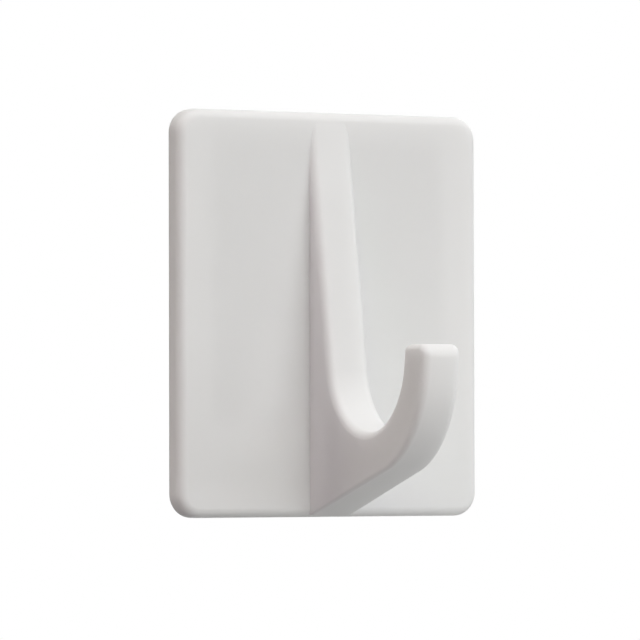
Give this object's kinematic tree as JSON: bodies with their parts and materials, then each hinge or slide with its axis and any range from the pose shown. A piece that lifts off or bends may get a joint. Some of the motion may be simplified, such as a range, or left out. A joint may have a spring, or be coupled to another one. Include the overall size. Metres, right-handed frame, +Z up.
{
  "type": "adhesive wall hook",
  "caption": "Adhesive wall hook: a white front plate with rounded corners and a J-shaped hook slides down onto a flat base plate that a stretch-release strip holds to the wall.",
  "frame": {"origin": "on the wall, at the strip's adhesive face, behind the middle of the front plate", "axes": "+Y into the wall, so the hook faces -Y; +Z up along the plate's height; +X to the right seen from the front"},
  "size_m": [0.05, 0.0381, 0.06],
  "materials": {
    "cover_plastic": "satin moulded",
    "base_plastic": "matte moulded",
    "strip_foam": "fine closed-cell foam",
    "strip_adhesive": "tacky, slightly glossy",
    "tab_film": "thin satin film"
  },
  "bodies": {
    "base": {"base_plate": "base_plastic", "strip_core": "strip_foam", "wall_adhesive": "strip_adhesive", "plate_adhesive": "strip_adhesive"},
    "cover": {"hook_cover": "cover_plastic"},
    "pull_tab": {"tab_film_front": "tab_film", "tab_film_rear": "tab_film"}
  },
  "joints": [
    {"name": "cover_slide", "type": "slide", "parent": "base", "child": "cover", "axis": [0, 0, 1], "range_m": [0, 0.05]},
    {"name": "tab_pull", "type": "slide", "parent": "base", "child": "pull_tab", "axis": [0, 0, -1], "range_m": [0, 0.02], "stiffness_N_per_m": 360, "deforming": ["strip_core", "wall_adhesive", "plate_adhesive"]}
  ]
}
